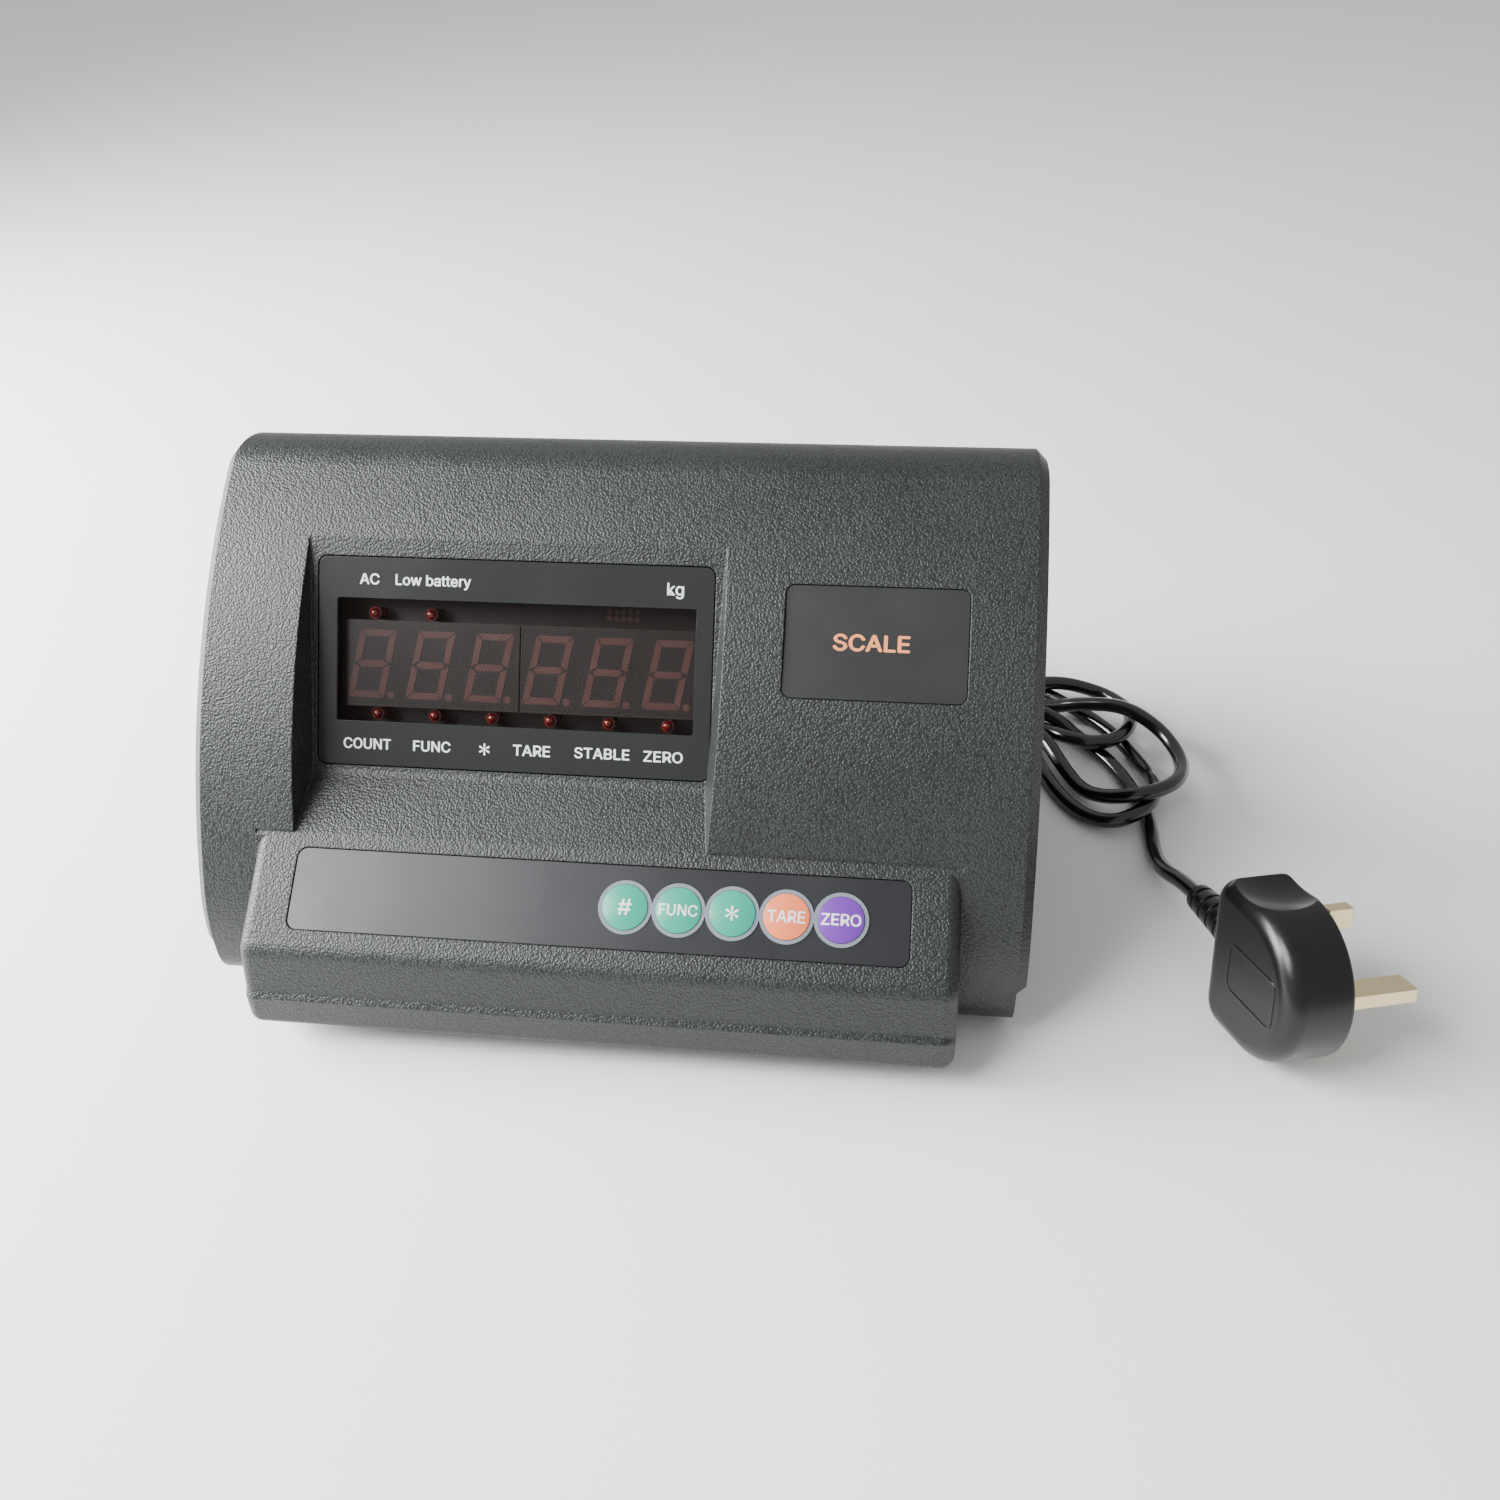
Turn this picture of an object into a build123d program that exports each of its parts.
from build123d import *
import os
from math import cos, pi, radians, sin, tan

# Desk-top weighing terminal with a six-digit display, five keys and a mains lead.
# Millimetres. +X to the right, +Y to the back, +Z up. The origin is on the table,
# under the middle of the case.

os.makedirs("parts", exist_ok=True)

# ---- Case ----
CASE_WIDTH = 245.0          # over the side walls
EDGE_CHAMFER = 2.9          # front and back edges of the side walls
FACE_WIDTH = CASE_WIDTH - 2 * EDGE_CHAMFER
CASE_REAR = 75.0            # y of the rear face
WALL = 2.6
FOOT_HEIGHT = 2.6           # underside above the table
CHIN_Y = -42.65             # centre line of the arc under the front edge
CHIN_RADIUS = 12.0
NOSE_RADIUS = 53.3          # steep lower front
SWEEP_RADIUS = 231.0        # long sloping front
TOP_RADIUS = 15.0           # front edge of the top
SWEEP_TOP_ANGLE = 33.2      # slope where the sweep meets the top arc
SWEEP_FOOT_ANGLE = 65.7     # slope where it meets the nose arc
REAR_TOP_RADIUS = 32.0
REAR_FOOT_RADIUS = 4.0
PART_Y = 46.0               # split between front and rear shell above the tray
TRAY_FRONT = -38.0          # front end of the rear shell's floor
TRAY_TOP = 20.0             # top of its side walls, where the edge chamfers end
SIDE_INNER = CASE_WIDTH / 2 - WALL - 0.9
TRAY_INNER = FACE_WIDTH / 2 - WALL

# ---- Console: display recess and keypad lip ----
DISPLAY_LEAN = 32.86        # display plane, back from vertical
DISPLAY_TOP_Y = 12.2        # top edge of the display window
DISPLAY_TOP_Z = 116.2
RECESS_LEFT = -91.5
RECESS_RIGHT = 32.4
LEFT_DRAFT = 0.10           # side walls' lean, per mm of depth
RIGHT_DRAFT = 0.33
VALLEY_DROP = 63.4          # display plane's length, down to the valley
VALLEY_RADIUS = 5.0
KEYPAD_SLOPE = 35.6         # keypad plane, up from horizontal
LIP_TOP_Y = -40.5
LIP_TOP_Z = 54.0
LIP_WIDTH = CASE_WIDTH - 39.8
LIP_FRONT = -75.0
LIP_FLOOR = 8.6             # underside of the lip
LIP_NOSE_Y = -69.0          # corner between the keypad plane and the lip's front
LIP_NOSE_RADIUS = 7.0
CREASE_Z = 20.8             # crease above the bead along the lip's front
CREASE_INSET = 2.3
BEAD_Z = 19.2
BEAD_INSET = 0.8
LIP_CORNER = 4.0            # lower corners of the lip

# ---- Display ----
WINDOW_LEFT = -88.6
WINDOW_RIGHT = 29.05
WINDOW_HEIGHT = 61.2
WINDOW_THICK = 1.5
WINDOW_CORNER = 2.6
WINDOW_GAP = 0.4
WINDOW_SET = 0.1            # window face below the recess floor
OPENING_LEFT = -83.0        # clear part of the window
OPENING_RIGHT = 24.1
OPENING_TOP = 11.9
OPENING_BOTTOM = 48.2
DIGIT_PITCH = 17.65
FIRST_DIGIT_X = -72.6
DIGIT_ROW = 31.2            # middle of the digits, down from the window's top
MODULE_WIDTH = 52.7
MODULE_HEIGHT = 25.5
MODULE_THICK = 8.0
MODULE_SET = 3.6            # module face behind the recess floor
BOARD_THICK = 1.6
LAMP_DIAMETER = 3.0
TOP_LAMP_ROW = 16.1
BOTTOM_LAMP_ROW = 46.2
TOP_LAMPS = (-73.8, -56.4)
SCREW_M3 = 3.0
BOSS = 6.4

# ---- Name plate ----
PLATE_WIDTH = 51.0
PLATE_HEIGHT = 32.0
PLATE_X = 75.6
PLATE_ANGLE = 45.5          # slope of the sweep at the middle of the plate
PLATE_THICK = 0.8
PLATE_CORNER = 2.4

# ---- Keypad ----
OVERLAY_WIDTH = 177.2
OVERLAY_HEIGHT = 23.6
OVERLAY_TOP = 4.4           # below the lip's top edge, along the slope
OVERLAY_THICK = 0.7
OVERLAY_DEPTH = 0.9         # pocket depth
OVERLAY_CORNER = 2.8
OVERLAY_GAP = 0.35
KEY_X = 9.0                 # first key
KEY_PITCH = 15.17
KEY_DIAMETER = 12.9
KEY_HOLE_GAP = 0.1          # all round a key
KEY_RING = 15.3             # outer diameter of the printed rings
KEY_RING_THICK = 0.25
KEY_FLANGE = 14.2
KEY_FLANGE_THICK = 0.5
KEY_PROUD = 0.45            # rim of a key above the overlay
KEY_DOME = 0.5              # crown of a key above its rim
KEY_TRAVEL = 0.5
KEY_NAMES = ("key_hash", "key_func", "key_star", "key_tare", "key_zero")
CIRCUIT_THICK = 1.0
DOME_THICK = 0.3
TAIL_X = 34.0

# ---- Rear panel ----
PANEL_LEFT = -10.0
PANEL_RIGHT = CASE_WIDTH / 2 - 6.5
PANEL_FLOOR = 18.0
PANEL_TOP = 56.0
PANEL_DEPTH = 10.0
PORT_Z = 37.0
CELL_X = 5.0                # load-cell socket
CELL_RADIUS = 8.0
CELL_FLOOR = 3.0            # contact insert behind the panel's face
SERIAL_X = 33.0
SWITCH_X = PANEL_RIGHT - 53.5
SWITCH_WIDTH = 13.0
SWITCH_HEIGHT = 19.0
SWITCH_FLANGE = 1.8
FUSE_X = PANEL_RIGHT - 34.0
FUSE_RADIUS = 6.2
GLAND_X = PANEL_RIGHT - 14.0
GLAND_RADIUS = 5.6
GLAND_LENGTH = 28.0         # sleeve behind the panel
FIT_GAP = 0.15              # panel cut-outs round what they hold
RUN_GAP = 0.06              # shafts in their bores

# ---- Battery bay ----
BATTERY_LENGTH = 101.0
BATTERY_DEPTH = 70.0
BATTERY_HEIGHT = 47.0
BATTERY_LEFT = 8.5 - CASE_WIDTH / 2
BATTERY_BACK = CASE_REAR - 5.0
TERMINAL_SPOTS = (16.0, 36.0)  # y of each
BAY_WALL = 1.6
BAY_HEIGHT = 26.0
BAY_GAP = 0.5
DOOR_LEFT = BATTERY_LEFT + 10.0
DOOR_RIGHT = BATTERY_LEFT + BATTERY_LENGTH - 3.0
DOOR_FRONT = 12.0
DOOR_GAP = 0.3
DOOR_TONGUE = 1.6
DOOR_TRAVEL = 40.0

# ---- Inside ----
MAIN_BOARD_WIDTH = 150.0
MAIN_BOARD_HEIGHT = 44.0
MAIN_BOARD_Y = CASE_REAR - 20.0
MAIN_BOARD_Z = 106.0
CORE_WIDTH = 48.0
CORE_HEIGHT = 38.0
CORE_X = 70.0
CORE_Y = -8.0
FOOT_X = CASE_WIDTH / 2 - 11.5
FOOT_FRONT = -31.0
FOOT_BACK = CASE_REAR - 11.0
FOOT_RADIUS = 6.5
INSERT_X = 60.0
INSERT_Y = -32.0
INSERT_HOLE = 2.0
INSERT_RADIUS = 2.9
INSERT_LENGTH = 7.0
TRAY_SCREW_X = CASE_WIDTH / 2 - 32.5
TRAY_SCREW_Y = -28.0
REAR_SCREW_X = CASE_WIDTH / 2 - 14.5
REAR_SCREW_Z = 117.0
HEAD_RADIUS = 2.9

# ---- Mains lead and plug ----
CORD_DIAMETER = 5.2
HANK_HEIGHT = 15.0
LEAD_PLACE = Vector(GLAND_X - 102.0, CASE_REAR - 75.0, 0)   # lead and plug follow the gland
PLUG_ORIGIN = Vector(202.9, -57.3, 28.4) + LEAD_PLACE
PLUG_AZIMUTH = 16.2         # the pins' direction over the table
PLUG_TILT = 2.6             # pins below horizontal
PLUG_ROLL = 16.0            # earth side raised
PIN_SPREAD = 11.11          # line and neutral, either side of the middle
PIN_OFFSET = 22.23          # from the earth pin
PLUG_HALF_WIDTH = 23.6
PLUG_NOSE = 9.4
PLUG_HEEL = -34.0
PLUG_THICK = 19.0
PLUG_RELIEF = 26.0
RELIEF_DEPTH = -7.8         # its centre line behind the plug's face


# ---------------------------------------------------------------- helpers

def span(x0, x1, y0, y1, z0, z1):
    """Box between two corners."""
    middle = Pos((x0 + x1) / 2, (y0 + y1) / 2, (z0 + z1) / 2)
    return middle * Box(abs(x1 - x0), abs(y1 - y0), abs(z1 - z0))


def rod(start, direction, radius, length):
    """Cylinder from a point along a direction."""
    plane = Plane(origin=start, z_dir=direction)
    return plane * extrude(Circle(radius), length)


def facing(angle):
    """Outward direction in (y, z) of a face that slopes at this angle."""
    return Vector(-sin(radians(angle)), cos(radians(angle)))


def prism(face, half_width):
    """A (y, z) outline extruded both ways along X."""
    return extrude(Plane.YZ * face, amount=half_width, both=True)


def plate(plane, x0, x1, t0, t1, n0, n1, corner=0.0):
    """Slab on a sloping plane: x across, t up the slope, n outwards."""
    outline = Rectangle(abs(x1 - x0), abs(t1 - t0))
    if corner > 0:
        outline = RectangleRounded(abs(x1 - x0), abs(t1 - t0), corner)
    base = plane * Pos((x0 + x1) / 2, (t0 + t1) / 2, min(n0, n1))
    return base * extrude(outline, abs(n1 - n0))


def post(plane, x, t, n0, n1, radius):
    """Round post on a sloping plane, from n0 to n1."""
    return plane * Pos(x, t, min(n0, n1)) * extrude(Circle(radius), abs(n1 - n0))


def wire(points, radii, diameter):
    """Round tube along straight runs joined by tangent arcs."""
    path = FilletPolyline(*points, radius=radii)
    start = Plane(origin=path @ 0, z_dir=path % 0)
    return sweep(start * Circle(diameter / 2), path=path)


def run_radii(points):
    """The largest arcs that the runs allow, one for each corner."""
    radii = []
    for before, corner, after in zip(points, points[1:], points[2:]):
        first, second = Vector(corner) - Vector(before), Vector(after) - Vector(corner)
        turn = radians(first.get_angle(second))
        radii.append(0.45 * min(first.length, second.length) / tan(turn / 2))
    return radii


# ---------------------------------------------------------------- outlines

def outline_centres():
    """Centres in (y, z) of the front outline's four arcs, from the chin up."""
    chin = Vector(CHIN_Y, FOOT_HEIGHT + CHIN_RADIUS)
    nose = chin + Vector(NOSE_RADIUS - CHIN_RADIUS, 0)
    sweep_centre = nose - facing(SWEEP_FOOT_ANGLE) * (SWEEP_RADIUS - NOSE_RADIUS)
    top = sweep_centre + facing(SWEEP_TOP_ANGLE) * (SWEEP_RADIUS - TOP_RADIUS)
    return chin, nose, sweep_centre, top


CHIN_CENTRE, NOSE_CENTRE, SWEEP_CENTRE, TOP_CENTRE = outline_centres()
CASE_TOP = TOP_CENTRE.Y + TOP_RADIUS


def arc(centre, radius, start, end):
    """Arc of the front outline between two slopes."""
    first = centre + facing(start) * radius
    middle = centre + facing((start + end) / 2) * radius
    last = centre + facing(end) * radius
    return ThreePointArc(first, middle, last)


def case_outline(inset):
    """Side outline of the case, moved inwards by inset."""
    front = [
        arc(CHIN_CENTRE, CHIN_RADIUS - inset, 180, 90),
        arc(NOSE_CENTRE, NOSE_RADIUS - inset, 90, SWEEP_FOOT_ANGLE),
        arc(SWEEP_CENTRE, SWEEP_RADIUS - inset, SWEEP_FOOT_ANGLE, SWEEP_TOP_ANGLE),
        arc(TOP_CENTRE, TOP_RADIUS - inset, SWEEP_TOP_ANGLE, 0),
    ]
    rear, top, floor = CASE_REAR - inset, CASE_TOP - inset, FOOT_HEIGHT + inset
    rest = FilletPolyline(front[-1] @ 1, (rear, top), (rear, floor), front[0] @ 0,
                          radius=[REAR_TOP_RADIUS - inset, REAR_FOOT_RADIUS])
    return make_face([*front, rest])


def display_drop(distance, depth=0.0):
    """Point in (y, z) down the display plane, at a depth behind it."""
    lean = radians(DISPLAY_LEAN)
    return Vector(DISPLAY_TOP_Y - distance * sin(lean) + depth * cos(lean),
                  DISPLAY_TOP_Z - distance * cos(lean) - depth * sin(lean))


def keypad_drop(distance, depth=0.0):
    """Point in (y, z) down the keypad plane, at a depth behind it."""
    slope = radians(KEYPAD_SLOPE)
    return Vector(LIP_TOP_Y - distance * cos(slope) + depth * sin(slope),
                  LIP_TOP_Z - distance * sin(slope) - depth * cos(slope))


DISPLAY = Plane(origin=(0, DISPLAY_TOP_Y, DISPLAY_TOP_Z), x_dir=(1, 0, 0),
                z_dir=(0, -cos(radians(DISPLAY_LEAN)), sin(radians(DISPLAY_LEAN))))
KEYPAD = Plane(origin=(0, LIP_TOP_Y, LIP_TOP_Z), x_dir=(1, 0, 0),
               z_dir=(0, -sin(radians(KEYPAD_SLOPE)), cos(radians(KEYPAD_SLOPE))))


def plate_plane():
    """Plane of the name plate, touching the sweep from inside."""
    out = facing(PLATE_ANGLE)
    sagitta = SWEEP_RADIUS - (SWEEP_RADIUS ** 2 - (PLATE_HEIGHT / 2) ** 2) ** 0.5
    spot = SWEEP_CENTRE + out * (SWEEP_RADIUS - sagitta)
    return Plane(origin=(PLATE_X, spot.X, spot.Y), x_dir=(1, 0, 0), z_dir=(0, out.X, out.Y))


PLATE = plate_plane()


def lip_outline():
    """Side outline of the keypad lip; its back lies inside the case."""
    nose_drop = (LIP_TOP_Y - LIP_NOSE_Y) / cos(radians(KEYPAD_SLOPE))
    crease = (LIP_FRONT + CREASE_INSET, CREASE_Z)
    bead = (LIP_FRONT + BEAD_INSET, BEAD_Z)
    back = LIP_TOP_Y + 8
    points = [keypad_drop(-6), keypad_drop(nose_drop), crease, bead,
              (LIP_FRONT, LIP_FLOOR), (back, LIP_FLOOR)]
    edge = FilletPolyline(*[(p.X, p.Y) if isinstance(p, Vector) else p for p in points],
                          radius=[LIP_NOSE_RADIUS, 0.5, 0.7, 2.6])
    return make_face([edge, Line(edge @ 1, edge @ 0)])


def recess_outline(depth):
    """What the display recess removes, in (y, z), its floor lowered by depth."""
    high = display_drop(-30, depth)
    valley = display_drop(VALLEY_DROP - depth * tan(radians(15)), depth)
    ledge = (LIP_TOP_Y + depth * 0.45, LIP_TOP_Z - depth * 0.9)
    out = keypad_drop(60, depth)
    edge = FilletPolyline((high.X, high.Y), (valley.X, valley.Y), ledge, (out.X, out.Y),
                          radius=[VALLEY_RADIUS, 3.0])
    far = [(out.X, out.Y), (out.X - 60, 60), (out.X - 60, 170), (high.X, 170), (high.X, high.Y)]
    return make_face([edge, Polyline(*far)])


# ---------------------------------------------------------------- case bodies

def side_plane(x, sign, draft):
    """Leaning side wall of the recess, through the top of the recess floor."""
    depth_at_valley = (SWEEP_RADIUS - (display_drop(VALLEY_DROP) - SWEEP_CENTRE).length)
    along = draft * depth_at_valley / VALLEY_DROP
    apex = DISPLAY.origin + DISPLAY.y_dir * 6.5 + Vector(x, 0, 0)
    up_slope = DISPLAY.y_dir + Vector(sign * along, 0, 0)
    outwards = DISPLAY.z_dir + Vector(sign * draft, 0, 0)
    normal = outwards.cross(up_slope).normalized() * sign
    return Plane(origin=apex, z_dir=normal if normal.X * sign > 0 else -normal)


def recess_body(depth, spread):
    """The display recess as a solid to remove, grown by depth and spread."""
    body = prism(recess_outline(depth), CASE_WIDTH)
    right = side_plane(RECESS_RIGHT + spread, 1, RIGHT_DRAFT)
    left = side_plane(RECESS_LEFT - spread, -1, LEFT_DRAFT)
    body = split(body, bisect_by=right, keep=Keep.BOTTOM)
    return split(body, bisect_by=left, keep=Keep.BOTTOM)


def case_outer():
    """Whole outside of the case, with the lip and the recess."""
    body = prism(case_outline(0), FACE_WIDTH / 2)
    for sign in (-1, 1):
        near = Plane(origin=(sign * FACE_WIDTH / 2, 0, 0), x_dir=(0, 1, 0), z_dir=(1, 0, 0))
        far = Plane(origin=(sign * CASE_WIDTH / 2, 0, 0), x_dir=(0, 1, 0), z_dir=(1, 0, 0))
        body += loft([near * case_outline(0), far * case_outline(EDGE_CHAMFER)], ruled=True)
        body -= span(sign * FACE_WIDTH / 2, sign * CASE_WIDTH, -90, 90, 0, TRAY_TOP)
    lip = prism(lip_outline(), LIP_WIDTH / 2)
    corners = lip.edges().filter_by(Axis.Y).group_by(Axis.Z)[0]
    lip = fillet(corners, LIP_CORNER)
    step = prism(keypad_step(), LIP_WIDTH / 2)
    return body + lip - step - recess_body(0, 0)


def keypad_step():
    """Clears the case face above the keypad plane, in front of the lip's top edge."""
    far = keypad_drop(60)
    return make_face(Polyline((LIP_TOP_Y, LIP_TOP_Z), (far.X, far.Y), (far.X, 90),
                              (LIP_TOP_Y, 90), close=True))


def case_inner():
    """Whole inside of the case."""
    body = prism(case_outline(WALL), SIDE_INNER)
    for sign in (-1, 1):
        body -= span(sign * TRAY_INNER, sign * CASE_WIDTH, -90, 90, 0, TRAY_TOP + WALL)
    lip = prism(offset(lip_outline(), -WALL), LIP_WIDTH / 2 - WALL)
    body = body + lip
    roof = keypad_drop(-2, WALL)
    far = keypad_drop(60, WALL)
    above = make_face(Polyline((LIP_TOP_Y + WALL, roof.Y), (roof.X, roof.Y), (far.X, far.Y),
                               (far.X, 90), (LIP_TOP_Y + WALL, 90), close=True))
    body -= prism(above, LIP_WIDTH / 2)
    body -= recess_body(WALL, WALL)
    body -= span(PANEL_LEFT - WALL, CASE_WIDTH, CASE_REAR - PANEL_DEPTH - WALL, 90,
                 PANEL_FLOOR - WALL, PANEL_TOP + WALL)
    return body


def rear_region():
    """Everything that belongs to the rear shell: the floor tray and the back."""
    return (span(-200, 200, PART_Y, 120, -10, 200)
            + span(-200, 200, TRAY_FRONT, 120, -10, TRAY_TOP))


OUTER = case_outer()
INNER = case_inner()
CASE_SHELL = OUTER - INNER


def key_spots():
    """x of each key."""
    return [KEY_X + KEY_PITCH * i for i in range(len(KEY_NAMES))]


KEY_ROW = -(OVERLAY_TOP + OVERLAY_HEIGHT / 2)


def bottom_lamp_spots():
    """x of the status lamps under the digits."""
    return [FIRST_DIGIT_X + DIGIT_PITCH * i for i in range(6)]


BOARD_FACE = -(MODULE_SET + MODULE_THICK)      # front of the display board
BOARD_LEFT, BOARD_RIGHT = WINDOW_LEFT + 1.5, WINDOW_RIGHT - 1.5
BOARD_SCREWS = [(x, -t) for x in (BOARD_LEFT + 6, BOARD_RIGHT - 6) for t in (5.6, 55.4)]


# ---------------------------------------------------------------- shells

def front_shell():
    """Moulded front: sweep, top, display recess and keypad lip."""
    shell = CASE_SHELL - rear_region()
    bosses = []
    for x, t in BOARD_SCREWS:
        bosses.append(post(DISPLAY, x, t, -WALL + 0.5, BOARD_FACE, BOSS / 2))
    for sign in (-1, 1):
        tall = span(sign * TRAY_SCREW_X - 4, sign * TRAY_SCREW_X + 4, TRAY_SCREW_Y - 4,
                    TRAY_SCREW_Y + 4, FOOT_HEIGHT + 9, 78) & OUTER
        bosses.append(tall)
        long = rod((sign * REAR_SCREW_X, PART_Y, REAR_SCREW_Z), (0, -1, 0), 4.2, 40) & OUTER
        bosses.append(long)
    for boss in bosses:
        shell += boss
    for x, t in BOARD_SCREWS:
        shell -= post(DISPLAY, x, t, BOARD_FACE - 0.1, BOARD_FACE + 6, SCREW_M3 / 2 - 0.15)
    for sign in (-1, 1):
        shell -= rod((sign * TRAY_SCREW_X, TRAY_SCREW_Y, FOOT_HEIGHT + 8), (0, 0, 1), 1.35, 14)
        shell -= rod((sign * REAR_SCREW_X, PART_Y + 1, REAR_SCREW_Z), (0, -1, 0), 1.35, 13)
    pocket = WINDOW_THICK + WINDOW_SET
    shell -= plate(DISPLAY, WINDOW_LEFT - WINDOW_GAP, WINDOW_RIGHT + WINDOW_GAP,
                   WINDOW_GAP, -WINDOW_HEIGHT - WINDOW_GAP, 1, -pocket, WINDOW_CORNER + WINDOW_GAP)
    shell -= plate(DISPLAY, OPENING_LEFT - 0.8, OPENING_RIGHT + 0.8, -OPENING_TOP + 0.8,
                   -OPENING_BOTTOM - 0.8, 0, -WALL - 1)
    half = OVERLAY_WIDTH / 2 + OVERLAY_GAP
    shell -= plate(KEYPAD, -half, half, -OVERLAY_TOP + OVERLAY_GAP,
                   -OVERLAY_TOP - OVERLAY_HEIGHT - OVERLAY_GAP, 4, -OVERLAY_DEPTH,
                   OVERLAY_CORNER + OVERLAY_GAP)
    slot_half = KEY_FLANGE / 2 + 0.6
    spots = key_spots()
    shell -= plate(KEYPAD, spots[0] - slot_half, spots[-1] + slot_half, KEY_ROW + slot_half,
                   KEY_ROW - slot_half, 0, -WALL - 1, 3)
    shell -= plate(PLATE, -PLATE_WIDTH / 2 - 0.3, PLATE_WIDTH / 2 + 0.3, PLATE_HEIGHT / 2 + 0.3,
                   -PLATE_HEIGHT / 2 - 0.3, 4, -PLATE_THICK - 0.2, PLATE_CORNER + 0.3)
    return shell


def rear_shell():
    """Moulded back and floor tray: connector panel, battery bay, bosses and vents."""
    shell = CASE_SHELL & rear_region()
    floor = FOOT_HEIGHT + WALL
    panel_y = CASE_REAR - PANEL_DEPTH
    bay_left, bay_right = BATTERY_LEFT - BAY_GAP, BATTERY_LEFT + BATTERY_LENGTH + BAY_GAP
    bay_front = BATTERY_BACK - BATTERY_DEPTH - BAY_GAP
    bay = span(bay_left - BAY_WALL, bay_right + BAY_WALL, bay_front - BAY_WALL,
               CASE_REAR - WALL, floor - 0.5, floor + BAY_HEIGHT)
    bay -= span(bay_left, bay_right, bay_front, CASE_REAR, floor - 1, floor + BAY_HEIGHT + 1)
    shell += bay
    for sign in (-1, 1):
        x = sign * TRAY_SCREW_X
        shell += rod((x, TRAY_SCREW_Y, floor - 0.5), (0, 0, 1), 5.2, 6.9)
        shell -= rod((x, TRAY_SCREW_Y, FOOT_HEIGHT - 1), (0, 0, 1), HEAD_RADIUS + 0.4, 7.4)
        shell -= rod((x, TRAY_SCREW_Y, FOOT_HEIGHT), (0, 0, 1), SCREW_M3 / 2 + 0.2, 12)
        x = sign * REAR_SCREW_X
        tower = rod((x, PART_Y, REAR_SCREW_Z), (0, 1, 0), 5.2, CASE_REAR - PART_Y - 1)
        shell += tower & OUTER
        shell -= rod((x, PART_Y + 4, REAR_SCREW_Z), (0, 1, 0), HEAD_RADIUS + 0.4, 40)
        shell -= rod((x, PART_Y - 1, REAR_SCREW_Z), (0, 1, 0), SCREW_M3 / 2 + 0.2, 12)
        x = sign * INSERT_X
        shell += rod((x, INSERT_Y, floor - 0.5), (0, 0, 1), 5.4, INSERT_LENGTH - 1)
        shell -= rod((x, INSERT_Y, FOOT_HEIGHT - 1), (0, 0, 1), INSERT_RADIUS, INSERT_LENGTH + 1)
    for x, z in main_board_screws():
        boss = rod((x, MAIN_BOARD_Y, z), (0, 1, 0), BOSS / 2, CASE_REAR - WALL - MAIN_BOARD_Y + 0.5)
        shell += boss & OUTER
        shell -= rod((x, MAIN_BOARD_Y - 1, z), (0, 1, 0), SCREW_M3 / 2 - 0.15, 8)
    for x, y in core_screws():
        shell += rod((x, y, floor - 0.5), (0, 0, 1), BOSS / 2, 3.5)
        shell -= rod((x, y, FOOT_HEIGHT + 1.2), (0, 0, 1), SCREW_M3 / 2 - 0.15, 6)
    shell -= span(PANEL_LEFT, PANEL_RIGHT, panel_y, 90, PANEL_FLOOR, PANEL_TOP)
    shell -= rod((CELL_X, panel_y + 1, PORT_Z), (0, -1, 0), CELL_RADIUS + FIT_GAP, 6)
    shell -= span(SERIAL_X - 9.6, SERIAL_X + 9.6, panel_y - 6, panel_y + 1,
                  PORT_Z - 5.6, PORT_Z + 5.6)
    for sign in (-1, 1):
        shell -= rod((SERIAL_X + sign * 12.5, panel_y + 1, PORT_Z), (0, -1, 0), 1.7, 6)
    shell -= span(SWITCH_X - SWITCH_WIDTH / 2 - FIT_GAP, SWITCH_X + SWITCH_WIDTH / 2 + FIT_GAP,
                  panel_y - 6, panel_y + 1, PORT_Z - SWITCH_HEIGHT / 2 - FIT_GAP,
                  PORT_Z + SWITCH_HEIGHT / 2 + FIT_GAP)
    shell -= rod((FUSE_X, panel_y + 1, PORT_Z), (0, -1, 0), FUSE_RADIUS + FIT_GAP, 6)
    shell -= rod((GLAND_X, panel_y + 1, PORT_Z), (0, -1, 0), GLAND_RADIUS + FIT_GAP, 6)
    for i in range(11):
        x = -22 + 8 * i
        shell -= span(x - 1.2, x + 1.2, CASE_REAR - WALL - 1, 90, 70, 94)
    shell -= span(-94.3, -31.7, CASE_REAR - 0.3, 90, 66.7, 93.3)
    shell -= door_space()
    return shell


def door_space():
    """Battery door's opening: a slot through the floor that runs out at the back."""
    low, high = FOOT_HEIGHT - 1, FOOT_HEIGHT + WALL
    lips = FOOT_HEIGHT + 1.1
    slot = span(DOOR_LEFT - DOOR_GAP, DOOR_RIGHT + DOOR_GAP, DOOR_FRONT - DOOR_GAP, 90, low, high)
    wide = span(DOOR_LEFT - DOOR_TONGUE - DOOR_GAP, DOOR_RIGHT + DOOR_TONGUE + DOOR_GAP,
                DOOR_FRONT - DOOR_TONGUE - DOOR_GAP, 90, lips, high + 0.01)
    return slot + wide


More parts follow.
